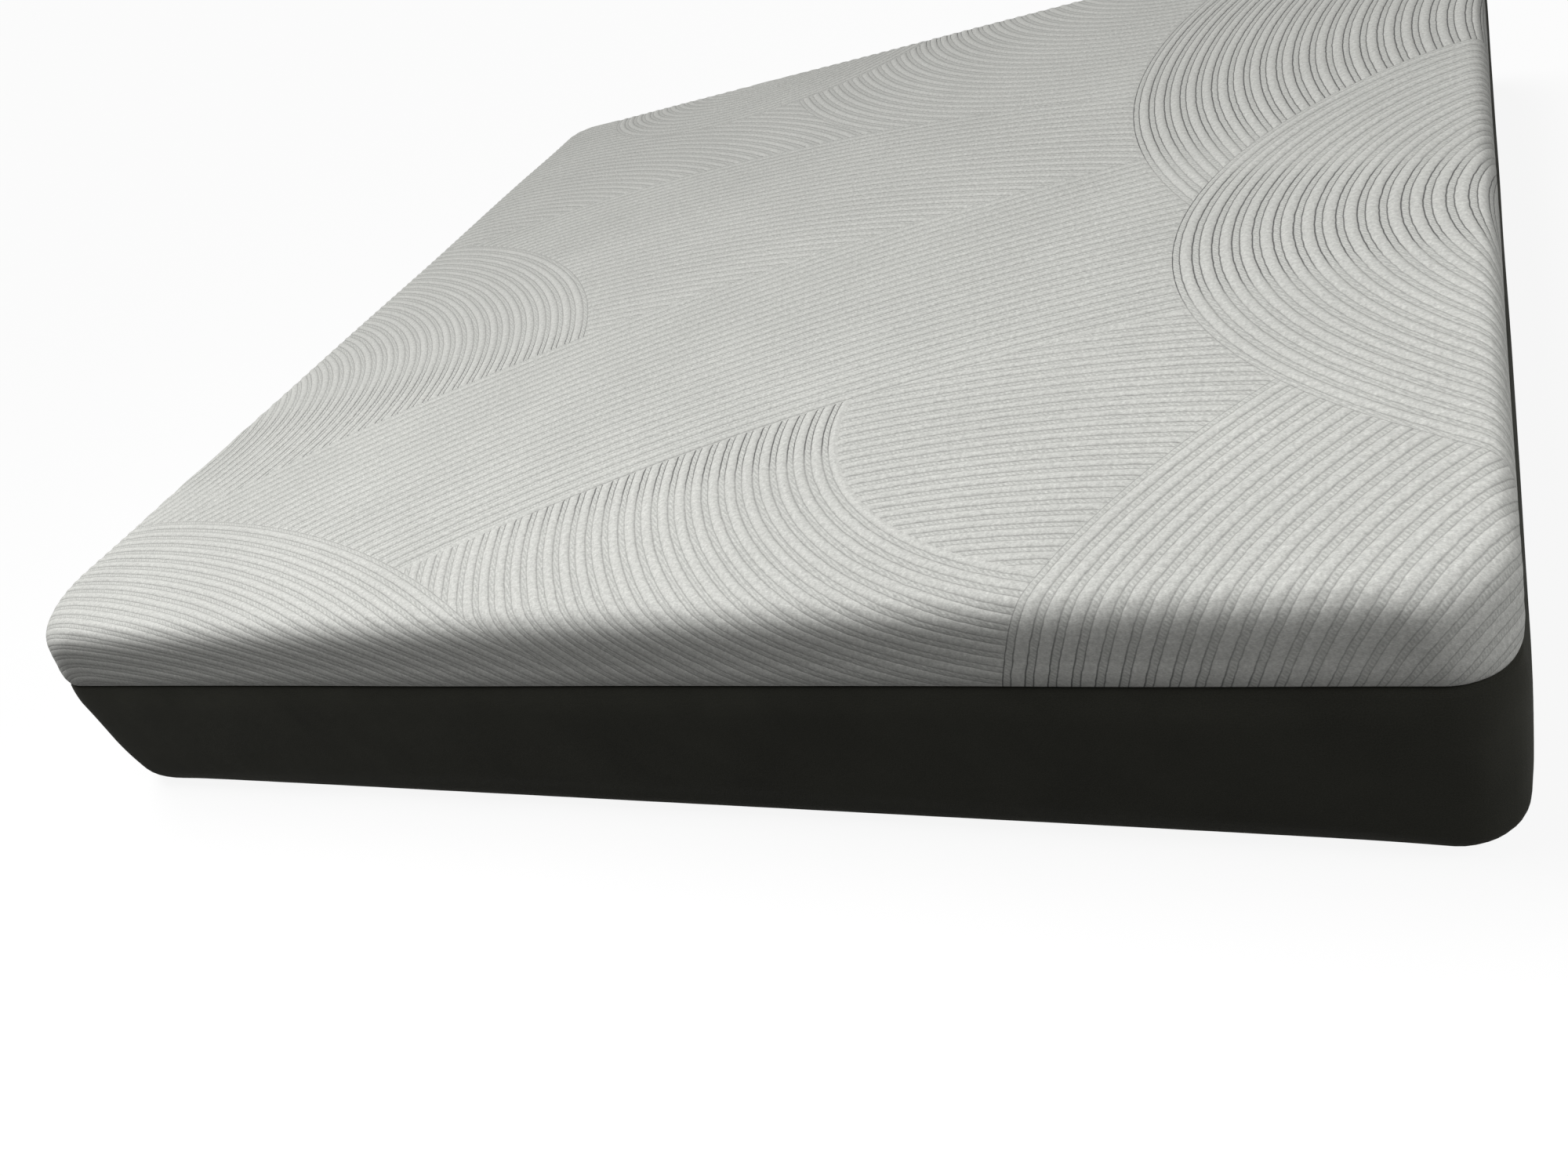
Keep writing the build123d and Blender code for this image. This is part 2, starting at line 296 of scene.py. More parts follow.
def makeMesh(name, points, quads, cloth=None):
    mesh = bpy.data.meshes.new(name)
    mesh.vertices.add(len(points))
    mesh.vertices.foreach_set("co", np.asarray(points, np.float32).ravel())
    mesh.loops.add(quads.size)
    mesh.loops.foreach_set("vertex_index", np.asarray(quads, np.int32).ravel())
    mesh.polygons.add(len(quads))
    mesh.polygons.foreach_set("loop_start", np.arange(0, quads.size, quads.shape[1], dtype=np.int32))
    mesh.update(calc_edges=True)
    mesh.validate()
    mesh.shade_smooth()
    if cloth is not None:
        layer = mesh.uv_layers.new(name="cloth")
        layer.data.foreach_set("uv", np.asarray(cloth, np.float32)[quads.ravel()].ravel())
    obj = bpy.data.objects.new(name, mesh)
    scene.collection.objects.link(obj)
    return obj


# Knitted ripple: overlapping fans of rings, from the lowest to the uppermost, in metres on the flat cloth.
# Each fan is finer along Y than along X by its stretch. Two of them show only under the arch, and one only
# outside its inner ring.
ripple = {
    "stretch": 1.2,  # where a fan has none of its own
    "fans": [
        {"centre": (-0.988, -0.222), "outer": 2.4704, "pitch": 0.02305},
        {"centre": (0.701, 1.062), "outer": 1.0574, "pitch": 0.02295},
        {"centre": (-0.450, 1.013), "outer": 0.4200, "pitch": 0.02260},
        {"centre": (-0.169, -0.997), "outer": 1.6738, "pitch": 0.02255},
        {"centre": (-1.423, -0.484), "stretch": 1.4, "outer": 1.1752, "pitch": 0.02465},
        {"centre": (1.086, -2.082), "outer": 2.5719, "pitch": 0.02262},
        {"centre": (0.576, -1.600), "outer": 1.4499, "pitch": 0.02160, "under": True},
        {"centre": (0.715, -0.576), "outer": 1.1109, "pitch": 0.02250, "under": True, "inner": 0.415},
        {"centre": (-1.032, -1.995), "outer": 1.5680, "pitch": 0.02200},
        {"centre": (2.003, -1.348), "outer": 1.4844, "pitch": 0.02250},
        {"centre": (1.926, 0.351), "outer": 1.4137, "pitch": 0.02365},
        {"centre": (1.371, -0.254), "outer": 0.7196, "pitch": 0.02365},
    ],
    "arch": {"centre": (1.189, -2.256), "outer": 2.213},
    "narrow": (0.09, 0.35),  # shares of a ring: a groove, the narrow twill band, a groove, the wide band
    "wide": (0.41, 1.0),
    "narrowRise": 0.0008,
    "wideRise": 0.0023,
    "bandRound": 0.7,  # less is squarer
    "blur": 0.45,  # in rows of the cloth
    "rimRows": 1.5,  # rows over which the relief sinks at a fan's rim
    "skirtShare": 0.12,  # the knit is drawn flatter round the edge and down the sides
    "skirtTop": -0.010,  # from the top of the rounded edge: flattest below this, full above fullFrom
    "fullFrom": 0.003,
    "seamFade": 0.008,
}
skirtTop, fullFrom = edgeTop + ripple["skirtTop"], edgeTop + ripple["fullFrom"]


def stretchOf(fan):
    return fan.get("stretch", ripple["stretch"])


def fromCentre(fan, u, v):
    return np.hypot(u - fan["centre"][0], (v - fan["centre"][1]) * stretchOf(fan))


def rippleRelief(cloth, spacing):
    # Height of the knitted bands above their grooves, no finer than the cloth's rows can carry
    samples = 512
    place, form = np.linspace(0, 1, samples + 1), np.zeros(samples)
    for band in ("narrow", "wide"):
        start, end = ripple[band]
        across = np.clip((place[:-1] - start) / (end - start), 0, 1)
        back = np.sin(math.pi * across).clip(0) ** ripple["bandRound"]
        form = np.maximum(form, ripple[band + "Rise"] * back)
    waves = np.fft.rfftfreq(samples, 1 / samples) * 2 * math.pi
    u, v = cloth.T
    height, rim = np.zeros(len(u)), np.full(len(u), np.inf)
    for fan in ripple["fans"]:
        inside = fan["outer"] - fromCentre(fan, u, v)
        clear = inside
        if "inner" in fan:
            clear = np.minimum(clear, fan["outer"] - inside - fan["inner"])
        if "under" in fan:
            clear = np.minimum(clear, ripple["arch"]["outer"] - fromCentre(ripple["arch"], u, v))
        blur = waves * ripple["blur"] * spacing / fan["pitch"]
        soft = np.fft.irfft(np.fft.rfft(form) * np.exp(-0.5 * blur**2))
        rise = np.interp((inside / fan["pitch"]) % 1.0, place, closed(soft))
        height = np.where(clear > 0, rise, height)
        rim = np.where(clear > 0, clear, np.minimum(rim, -clear))
    blend = np.clip(rim / (ripple["rimRows"] * spacing), 0, 1)
    return height * blend * blend * (3 - 2 * blend)


def swell(x, y, size, seed):
    # A slow, seeded unevenness between -1 and 1
    dice = np.random.default_rng(seed)
    waves, shortest, longest = 7, 0.7, 1.6  # lengths as shares of the size
    turn = 2 * math.pi
    total = np.zeros(np.shape(x))
    for k in range(waves):
        heading = dice.uniform(0, turn)
        wave = turn / (size * dice.uniform(shortest, longest))
        total += np.sin(wave * (x * math.cos(heading) + y * math.sin(heading)) + dice.uniform(0, turn))
    return total / waves


# Cloth of the coarse cages that swell over the foam
cageCloth = {"frames": 20, "quality": 4, "mass": 0.4, "stretch": 40, "shear": 20, "bend": 8, "push": 3.0}


def pressOut(name, cageRows, held, most):
    # Air pressure swells a cage between its held rows: how far each point moves outwards, up to a limit
    cage = makeMesh(name, cageRows["points"], cageRows["quads"])
    group = cage.vertex_groups.new(name="held")
    group.add([int(k) for k in held], 1.0, "REPLACE")
    cloth = cage.modifiers.new("cloth", "CLOTH")
    settings = cloth.settings
    settings.quality = cageCloth["quality"]
    settings.mass = cageCloth["mass"]
    settings.tension_stiffness = cageCloth["stretch"]
    settings.compression_stiffness = cageCloth["stretch"]
    settings.shear_stiffness = cageCloth["shear"]
    settings.bending_stiffness = cageCloth["bend"]
    settings.use_pressure = True
    settings.uniform_pressure_force = cageCloth["push"]
    settings.effector_weights.gravity = 0
    settings.vertex_group_mass = "held"
    cloth.collision_settings.use_collision = False
    cloth.point_cache.frame_start = 1
    cloth.point_cache.frame_end = cageCloth["frames"]
    for step in range(cageCloth["frames"]):
        scene.frame_set(step + 1)
    shown = cage.evaluated_get(bpy.context.evaluated_depsgraph_get())
    moved = np.zeros(cageRows["points"].size, np.float32)
    shown.data.vertices.foreach_get("co", moved)
    scene.frame_set(1)
    bpy.data.objects.remove(cage)
    shift = moved.reshape(-1, 3).astype(float) - cageRows["points"]
    size = np.linalg.norm(shift, axis=1)
    limited = most * np.tanh(size / most) / np.maximum(size, tiny)
    return limited * np.sum(shift * cageRows["normals"], axis=1)


def between(values, knots):
    # The knot before each value, and how far on it is to the next
    place = np.interp(values, knots, np.arange(len(knots)))
    first = np.clip(np.floor(place).astype(int), 0, len(knots) - 2)
    return first, place - first


def spreadField(field, rows, columns):
    # A coarse field read between its rows and columns
    (j, fj), (i, fi) = rows, columns
    fj, fi = fj[:, None], fi[None, :]
    near = field[np.ix_(j, i)] * (1 - fi) + field[np.ix_(j, i + 1)] * fi
    far = field[np.ix_(j + 1, i)] * (1 - fi) + field[np.ix_(j + 1, i + 1)] * fi
    return near * (1 - fj) + far * fj


def rimRun(panel):
    # Distance round the top panel's rim in square rows, closed
    x = np.tile(panel["gridX"], len(panel["gridY"]))
    y = np.repeat(panel["gridY"], len(panel["gridX"]))
    return distanceAlong(closed(np.stack([x, y], axis=1)[panel["rim"]]))


def topSwelling(panel, coarse, offset):
    # The coarse cloth's swelling, carried over to the fine one
    countX, countY = len(coarse["gridX"]), len(coarse["gridY"])
    field = offset[: countX * countY].reshape(countY, countX)
    rows, columns = between(panel["gridY"], coarse["gridY"]), between(panel["gridX"], coarse["gridX"])
    top = spreadField(field, rows, columns)
    rings = np.concatenate([offset[coarse["rim"]], offset[countX * countY :]]).reshape(len(coarse["run"]), -1)
    rings = closed(rings.T).T
    rows, columns = between(panel["run"], coarse["run"]), between(rimRun(panel)[:-1], rimRun(coarse))
    skirt = spreadField(rings, rows, columns)
    return np.concatenate([top.ravel(), skirt[1:].ravel()])


def makeTopPanel():
    # The cloth, swollen over the foam, with the ripple raised in it
    panel = layTopPanel(topCloth["spacing"])
    offset = np.zeros(len(panel["points"]))
    coarse = layTopPanel(topCloth["cageSpacing"])
    swollen = pressOut("topCage", coarse, coarse["lastRing"], topCloth["mostSwell"])
    offset += topSwelling(panel, coarse, swollen)
    offset += topCloth["unevenness"] * swell(*panel["cloth"].T, topCloth["unevenSize"], topCloth["seed"])
    fades = (cover["seam"], cover["seam"] + ripple["seamFade"], skirtTop, fullFrom)
    flatter = np.interp(panel["points"][:, 2], fades, (0.0, ripple["skirtShare"], ripple["skirtShare"], 1.0))
    offset += flatter * rippleRelief(panel["cloth"], topCloth["spacing"])

    # The lower edge is turned in behind the seam
    ring = panel["lastRing"]
    outwards = panel["normals"][ring] * [1, 1, 0]
    outwards /= np.linalg.norm(outwards, axis=1)[:, None]
    points = [panel["points"] + panel["normals"] * offset[:, None]]
    quads, cloth, upper = [panel["quads"]], [panel["cloth"]], ring
    for k, (back, drop) in enumerate(topCloth["turnedEdge"]):
        points.append(panel["points"][ring] - outwards * back - [0, 0, drop])
        cloth.append(panel["cloth"][ring])
        lower = len(points[0]) + k * len(ring) + np.arange(len(ring))
        quads.append(joinRings(upper, lower))
        upper = lower
    return makeMesh("topPanel", **gather(points=points, quads=quads, cloth=cloth))


topPanel = makeTopPanel()
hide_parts("top_cover")
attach(topPanel, "mattress")
print("top panel:", len(topPanel.data.vertices), "points")

# Charcoal border, with the slot for the zip in its far side
borderCloth = {
    "spacing": 0.010,
    "rowHeight": 0.009,
    "zone": 0.154,
    "lip": ((0.016, 0.0022), (0.0105, 0.0020), (0.0080, 0.0028), (0.0068, 0.0045)),  # inset and depth
    "rollStart": 0.008,  # depths are below the seam
    "rollEnd": 0.045,
    "rollRows": 8,
    "footRows": 10,
    "hemRows": (0.33, 0.66, 1.0),
    "cageSpacing": 0.040,
    "heldFoot": 0.004,  # rows lower than this, and rows this near the seam, don't swell
    "heldSeam": 0.006,
    "mostSwell": 0.004,
    "unevenness": 0.0008,
    "unevenSize": 0.4,
    "unevenSquash": 2,
    "seed": 5,
    "calmFoot": 0.03,  # the unevenness fades out over these heights
    "calmSeam": 0.02,
    "zipHalf": 0.860,
    "zipLow": 0.041,
    "zipHigh": 0.067,
    "slotRows": 4,
    "slotFolds": ((0.0006, 0.0007), (0.0010, 0.0022), (0.0010, 0.0108)),  # into the slot, and back
}


def layRings(section, spacing, marks=()):
    # Rings of cloth round the mattress, one for each point of a section
    zone = borderCloth["zone"]
    rowsX = layRows(cover["halfLength"], 0, zone, spacing, marks)
    rowsY = layRows(cover["halfWidth"], 0, zone, spacing)
    countX = rowsX.shape[1]
    rim = roundGrid(countX, rowsY.shape[1])
    rimX, rimY = rowsX[:, rim % countX], rowsY[:, rim // countX]
    facing = lineNormals(section)
    run = distanceAlong(section)
    x, y, *_ = placeRows(rimX, rimY, zone, 0, nearestCorner(cover["corners"], rimX[2], rimY[2]))
    roundRun = distanceAlong(closed(np.stack([x, y], axis=1)))
    points, normals, cloth, quads = [], [], [], []
    around = np.arange(len(rim))
    for k, (inset, height) in enumerate(section):
        radius = borderCorner(inset, height, rimX[2], rimY[2])
        x, y, outX, outY = placeRows(rimX, rimY, zone, inset, radius)
        points.append(ringAt(x, y, height))
        normals.append(ringAt(outX * facing[k, 0], outY * facing[k, 0], facing[k, 1]))
        cloth.append(np.stack([roundRun[:-1], np.full(len(rim), -run[k])], axis=1))
        if k:
            quads.append(joinRings((k - 1) * len(rim) + around, k * len(rim) + around))
    return gather(points=points, normals=normals, cloth=cloth, quads=quads) | {
        "count": len(rim),
        "rimX": rimX,
        "rimY": rimY,
        "run": run,
        "round": roundRun,
    }


def borderLine():
    # Section of the border from behind the seam, down the side and under the hem: inset and height
    seam, footRun, footRise = cover["seam"], cover["bottomRun"], cover["bottomRise"]
    zipLow, zipHigh, rollEnd = borderCloth["zipLow"], borderCloth["zipHigh"], borderCloth["rollEnd"]
    lip = [(inset, seam - depth) for inset, depth in borderCloth["lip"]]
    rollFoot = seam - rollEnd
    rollHeights = np.linspace(seam - borderCloth["rollStart"], rollFoot, borderCloth["rollRows"])
    roll = [(cover["seamDrawIn"] * ((h - rollFoot) / rollEnd) ** 2, h) for h in rollHeights]
    wallRows = round((rollFoot - zipHigh) / borderCloth["rowHeight"])
    wall = [(0.0, h) for h in np.linspace(rollFoot, zipHigh, wallRows + 1)[1:]]
    slot = [(0.0, h) for h in np.linspace(zipHigh, zipLow, borderCloth["slotRows"] + 1)[1:]]
    angles = np.linspace(0, math.pi / 2, borderCloth["footRows"])
    foot = [(footRun * (1 - math.cos(a)), footRise * (1 - math.sin(a))) for a in angles]
    hem = [(footRun + cover["hem"] * share, 0.0) for share in borderCloth["hemRows"]]
    return np.array(lip + roll + wall + slot + foot + hem)


def borderOffset(band, section):
    # How far the border swells, and its slow unevenness between the seam and the foot
    offset = np.zeros(len(band["points"]))
    coarse = layRings(section, borderCloth["cageSpacing"])
    level = coarse["points"][:, 2]
    held = (level < borderCloth["heldFoot"]) | (level > cover["seam"] - borderCloth["heldSeam"])
    swollen = pressOut("borderCage", coarse, np.flatnonzero(held), borderCloth["mostSwell"])
    field = closed(swollen.reshape(len(section), -1).T).T
    rows, columns = between(band["run"], coarse["run"]), between(band["round"][:-1], coarse["round"])
    offset += spreadField(field, rows, columns).ravel()
    height = band["points"][:, 2]
    free = np.clip(height / borderCloth["calmFoot"], 0, 1)
    free *= np.clip((cover["seam"] - height) / borderCloth["calmSeam"], 0, 1)
    along, down = band["cloth"].T
    uneven = swell(along, down * borderCloth["unevenSquash"], borderCloth["unevenSize"], borderCloth["seed"])
    return offset + borderCloth["unevenness"] * free * uneven


section = borderLine()
band = layRings(section, borderCloth["spacing"], (borderCloth["zipHalf"],))
points = band["points"] + band["normals"] * borderOffset(band, section)[:, None]
points[:, 2] = np.maximum(points[:, 2], 0)
count = band["count"]
bandRows = points.reshape(-1, count, 3)

# Rows and columns of the slot, whose faces are left out
zipHalf, zipLow, zipHigh = (borderCloth[key] for key in ("zipHalf", "zipLow", "zipHigh"))
hair = 1e-6  # slack for rounding
straightFar = (band["rimY"][2] > 0) & (band["rimY"][1] >= 1) & (band["rimX"][1] == 0)
slotColumns = np.flatnonzero(straightFar & (np.abs(band["rimX"][0]) <= zipHalf + hair))
inset, height = section.T
slotRows = np.flatnonzero((height <= zipHigh + hair) & (height >= zipLow - hair) & (inset == 0))
rowOf, columnOf = np.divmod(np.arange(len(band["quads"])), count)
quads = band["quads"][~(np.isin(rowOf, slotRows[:-1]) & np.isin(columnOf, slotColumns[:-1]))]

# The slot's edge is folded in
loop = np.concatenate([
    slotRows[0] * count + slotColumns,
    slotRows[1:] * count + slotColumns[-1],
    slotRows[-1] * count + slotColumns[-2::-1],
    slotRows[-2:0:-1] * count + slotColumns[0],
])
toMiddle = np.sign([0, 0, (zipLow + zipHigh) / 2] - points[loop]) * [0, 0, 1]
folds, fold = [], loop
for inside, back in borderCloth["slotFolds"]:
    place = points[loop] + toMiddle * inside
    place[:, 1] = np.minimum(place[:, 1], cover["halfWidth"]) - back
    lower = len(points) + len(folds) * len(loop) + np.arange(len(loop))
    quads = np.concatenate([quads, joinRings(lower, fold)])
    folds.append(place)
    fold = lower
cloth = np.concatenate([band["cloth"]] + [band["cloth"][loop]] * len(folds))
borderBand = makeMesh("borderBand", np.concatenate([points, *folds]), quads, cloth)
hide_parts("border_band")
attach(borderBand, "mattress")
print("border:", len(borderBand.data.vertices), "points")

# Underside, tucked a little way behind the hem
underCloth = {
    "inset": 0.050,
    "zone": 0.20,
    "spacing": 0.020,
    "lift": 0.0008,
    "unevenness": 0.8,  # as a share of the lift
    "unevenSize": 0.3,
    "seed": 3,
}
x, y, *_, quads = layGrid(underCloth["inset"], underCloth["zone"], underCloth["spacing"], borderCorner, 0.0)
uneven = underCloth["unevenness"] * swell(x, y, underCloth["unevenSize"], underCloth["seed"])
points = np.stack([x, y, underCloth["lift"] * (1 + uneven)], axis=1)
downward = quads[:, [0, 3, 2, 1]]
underPanel = makeMesh("underPanel", points, downward, points[:, :2])
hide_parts("bottom_panel")
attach(underPanel, "mattress")

# Stitches along the hem and beside the zip
stitching = {
    "length": 0.0042,
    "gap": 0.0018,
    "width": 0.0009,
    "sides": 6,
    "taper": 0.18,  # shares of a stitch: its length that tapers at each end, and how thin it gets
    "endThickness": 0.35,
    "flatness": 0.7,
    "proud": 0.55,
    "hemTuck": 0.0002,
}


def sewStitches(name, line, face):
    # Stitches along a line of points, each standing a little proud of the cloth
    length, gap, sides = stitching["length"], stitching["gap"], stitching["sides"]
    taper, thin = stitching["taper"], stitching["endThickness"]
    run = distanceAlong(line)
    starts = np.arange(gap, run[-1] - length, length + gap)
    along = np.array([0.0, taper, 1 - taper, 1.0])
    thick = np.array([thin, 1.0, 1.0, thin])[:, None] * stitching["width"] / 2
    at = starts[:, None] + along * length
    middle = np.stack([np.interp(at, run, line[:, k]) for k in range(3)], axis=-1)
    heading = middle[:, -1] - middle[:, 0]
    heading /= np.linalg.norm(heading, axis=1)[:, None]
    face = np.asarray(face, float)
    across = np.cross(heading, face)
    points = []
    for a in np.linspace(0, 2 * math.pi, sides, endpoint=False):
        spoke = math.cos(a) * across + stitching["flatness"] * (math.sin(a) + stitching["proud"]) * face
        points.append(middle + thick * spoke[:, None, :])
    points = np.stack(points, axis=2).reshape(-1, 3)
    index = np.arange(len(points)).reshape(len(starts), len(along), sides)
    turned = np.roll(index, -1, axis=2)
    quads = np.stack([index[:, :-1], index[:, 1:], turned[:, 1:], turned[:, :-1]], axis=-1).reshape(-1, 4)
    return makeMesh(name, points, quads)


hemLine = closed(bandRows[-2]) + [0, 0, stitching["hemTuck"]]
stitches = [
    sewStitches("hemStitches", hemLine, (0, 0, -1)),
    sewStitches("zipStitchesUpper", bandRows[slotRows[0] - 1, slotColumns], (0, 1, 0)),
    sewStitches("zipStitchesLower", bandRows[slotRows[-1] + 1, slotColumns], (0, 1, 0)),
]
for row in stitches:
    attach(row, "mattress")
print("underside and stitching:", len(stitches), "rows")

# Zip: two woven tapes and two rows of nylon coil, where the solids are
zipSizes = {
    "tapeRound": 0.0004,
    "tapeRings": 216,
    "wire": 0.00042,  # radius
    "pitch": 0.0016,
    "turnPoints": 10,
    "wireSides": 5,
}


def weaveTape(name, node):
    # A flat tape with softly rounded edges
    low, high = (np.array(corner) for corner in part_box(node))
    middle, half = (low + high) / 2, (high - low) / 2
    soft = zipSizes["tapeRound"]
    ring = []
    for signY, signZ, start in ((1, 1, 0.0), (-1, 1, 0.5), (-1, -1, 1.0), (1, -1, 1.5)):
        for step in (0.0, 0.25, 0.5):
            angle = math.pi * (start + step)
            ring.append((
                middle[1] + signY * (half[1] - soft) + soft * math.cos(angle),
                middle[2] + signZ * (half[2] - soft) + soft * math.sin(angle),
            ))
    ring = np.array(ring)
    stations = np.linspace(low[0], high[0], zipSizes["tapeRings"])
    points = np.concatenate([np.insert(ring, 0, x, axis=1) for x in stations])
    quads = joinTube(np.arange(len(points)).reshape(len(stations), len(ring)))
    tape = makeMesh(name, points, quads, points[:, [0, 2]])
    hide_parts(node)
    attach(tape, "mattress")
    return tape


def windCoil(name, node, phase):
    # A wire wound along the tape's edge, started part of a turn on by its phase
    low, high = (np.array(corner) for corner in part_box(node))
    wire, pitch, sides = zipSizes["wire"], zipSizes["pitch"], zipSizes["wireSides"]
    turns = int((high[0] - low[0] - 2 * wire) / pitch - 0.5)  # half a turn is kept for the phase
    angle = np.arange(turns * zipSizes["turnPoints"] + 1) * 2 * math.pi / zipSizes["turnPoints"]
    reachY, reachZ = (high[1] - low[1]) / 2 - wire, (high[2] - low[2]) / 2 - wire
    middle = np.stack([
        low[0] + wire + phase * pitch + angle / (2 * math.pi) * pitch,
        (low[1] + high[1]) / 2 + reachY * np.cos(angle),
        (low[2] + high[2]) / 2 + reachZ * np.sin(angle),
    ], axis=1)
    spoke = np.stack([np.zeros(len(angle)), np.cos(angle), np.sin(angle)], axis=1)
    points = []
    for a in np.linspace(0, 2 * math.pi, sides, endpoint=False):
        points.append(middle + wire * (math.cos(a) * spoke + math.sin(a) * np.array([1.0, 0, 0])))
    points = np.stack(points, axis=1).reshape(-1, 3)
    coil = makeMesh(name, points, joinTube(np.arange(len(points)).reshape(len(angle), sides)))
    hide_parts(node)
    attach(coil, "mattress")
    return coil


tapes = [weaveTape("zipTapeUpper", "zip_tape_upper"), weaveTape("zipTapeLower", "zip_tape_lower")]
coils = [windCoil("zipCoilUpper", "zip_coil_upper", 0.0), windCoil("zipCoilLower", "zip_coil_lower", 0.5)]
print("zip:", sum(len(piece.data.vertices) for piece in tapes + coils), "points")


def addNode(tree, kind, feeds=(), **settings):
    node = tree.nodes.new("ShaderNode" + kind)
    for key, value in settings.items():
        setattr(node, key, value)
    for socket, value in feeds:
        if isinstance(value, bpy.types.NodeSocket):
            tree.links.new(value, node.inputs[socket])
        else:
            node.inputs[socket].default_value = value
    return node


def calc(tree, operation, *values):
    return addNode(tree, "Math", enumerate(values), operation=operation).outputs[0]


def blendColours(tree, share, first, second, kind="MIX"):
    feeds = [(0, share), (6, first), (7, second)]
    return addNode(tree, "Mix", feeds, data_type="RGBA", blend_type=kind).outputs[2]


def stops(tree, value, *levels, smooth=False):
    # A curve through (place, grey or colour) pairs
    node = addNode(tree, "ValToRGB", [(0, value)])
    node.color_ramp.interpolation = "B_SPLINE" if smooth else "LINEAR"
    elements = node.color_ramp.elements
    while len(elements) < len(levels):
        elements.new(1.0)
    for element, (place, tone) in zip(elements, levels):
        element.position = place
        element.color = (*tone, 1) if isinstance(tone, tuple) else (tone, tone, tone, 1)
    return node.outputs[0]


def newMaterial(name, roughness, gloss=0.5, metallic=0.0):
    material = bpy.data.materials.new(name)
    material.use_nodes = True
    tree = material.node_tree
    shader = tree.nodes["Principled BSDF"]
    shader.inputs["Roughness"].default_value = roughness
    shader.inputs["Specular IOR Level"].default_value = gloss
    shader.inputs["Metallic"].default_value = metallic
    return material, tree, shader


def raiseSurface(tree, shader, height, distance, strength):
    bump = addNode(tree, "Bump", [("Strength", strength), ("Distance", distance), ("Height", height)])
    tree.links.new(bump.outputs[0], shader.inputs["Normal"])


def noise(tree, place, scale, detail):
    return addNode(tree, "TexNoise", [("Vector", place), ("Scale", scale), ("Detail", detail)]).outputs[0]


def ribs(tree, place, scale, waver, heading):
    feeds = [("Vector", place), ("Scale", scale), ("Distortion", waver), ("Detail", 1.0)]
    return addNode(tree, "TexWave", feeds, bands_direction=heading).outputs[1]


def objectPlace(tree):
    return addNode(tree, "TexCoord").outputs["Object"]


def stretched(tree, place, size):
    return addNode(tree, "VectorMath", [(0, place), (1, size)], operation="MULTIPLY").outputs[0]


def rippleRings(tree, place):
    # Rings counted inwards from the rim of each fan, and how nearly they run straight across the bed
    def away(fan):
        scaled = stretched(tree, place, (1, stretchOf(fan), 0))
        middle = (fan["centre"][0], fan["centre"][1] * stretchOf(fan), 0)
        offset = addNode(tree, "VectorMath", [(0, scaled), (1, middle)], operation="SUBTRACT").outputs[0]
        return offset, addNode(tree, "VectorMath", [(0, offset)], operation="LENGTH").outputs[1]

    underArch = calc(tree, "LESS_THAN", away(ripple["arch"])[1], ripple["arch"]["outer"])
    rings, across = None, None
    for fan in ripple["fans"]:
        offset, reach = away(fan)
        sideways = calc(tree, "ABSOLUTE", addNode(tree, "SeparateXYZ", [(0, offset)]).outputs[0])
        turned = calc(tree, "DIVIDE", sideways, reach)
        here = calc(tree, "DIVIDE", calc(tree, "SUBTRACT", fan["outer"], reach), fan["pitch"])
        if rings is None:
            rings, across = here, turned
            continue
        shown = calc(tree, "GREATER_THAN", here, 0.0)
        if "inner" in fan:
            shown = calc(tree, "MINIMUM", shown, calc(tree, "GREATER_THAN", reach, fan["inner"]))
        if "under" in fan:
            shown = calc(tree, "MINIMUM", shown, underArch)
        rings = addNode(tree, "Mix", [(0, shown), (2, rings), (3, here)], data_type="FLOAT").outputs[0]
        across = addNode(tree, "Mix", [(0, shown), (2, across), (3, turned)], data_type="FLOAT").outputs[0]
    return rings, across


# Pairs for places, grooves and forms are a share of a ring, from 0 at its outer groove, and a strength or
# height. Other pairs are a level and its tone. The grooves carry a painted shadow, dark where the rings run
# straight across, as if lit from one side.
topKnitLook = {
    "roughness": 0.92,
    "gloss": 0.2,
    "narrow": (0.530, 0.533, 0.507),
    "wide": (0.582, 0.584, 0.556),
    "bandEdges": (0.03, 0.36, 0.40, 1.0),
    "twillPlace": ((0.08, 0.0), (0.11, 1.0), (0.32, 1.0), (0.36, 0.0)),
    "twillTones": ((0.2, 0.90), (0.8, 1.07)),
    "twillScale": 110,
    "twillWaver": 2.0,
    "outerGroove": ((0.0, 1.0), (0.03, 1.0), (0.075, 0.0)),
    "innerGroove": ((0.335, 0.0), (0.37, 0.9), (0.395, 0.9), (0.43, 0.0)),
    "nextGroove": ((0.97, 0.0), (1.0, 1.0)),
    # Painted shadow: the groove colour goes from its own tone to a near-black painted shadow where the rings
    # run straight across
    "grooveTone": (0.375, 0.375, 0.358, 1),
    "groovePaintedShadow": (0.110, 0.110, 0.108, 1),
    "opening": ((0.945, 0.0), (0.970, 1.0)),  # how nearly straight across, as a cosine
    "waver": 0.10,
    "waverScale": 70,
    "mottleScale": 190,
    "mottle": ((0.30, 0.86), (0.70, 1.12)),
    "fleckScale": 520,
    "fleckShape": (0.7, 1.3, 1),
    "fleck": ((0.30, 0.84), (0.55, 1.0), (0.72, 1.12)),
    "cloudScale": 5,
    "cloud": ((0.3, 0.96), (0.7, 1.03)),
    "narrowForm": ((0.0, 0.0), (0.03, 0.0), (0.11, 0.42), (0.20, 0.5), (0.30, 0.42), (0.36, 0.0)),
    "wideForm": (
        (0.405, 0.0), (0.45, 0.55), (0.54, 0.84), (0.70, 1.0), (0.86, 0.84), (0.95, 0.50), (0.99, 0.0),
    ),
    "yarnScale": 600,
    "yarnShape": (0.8, 1.4, 1),
    "yarnRise": 0.30,
    "relief": 0.0014,
    "reliefOnSkirt": 0.35,
    "reliefOnTop": 0.8,
}


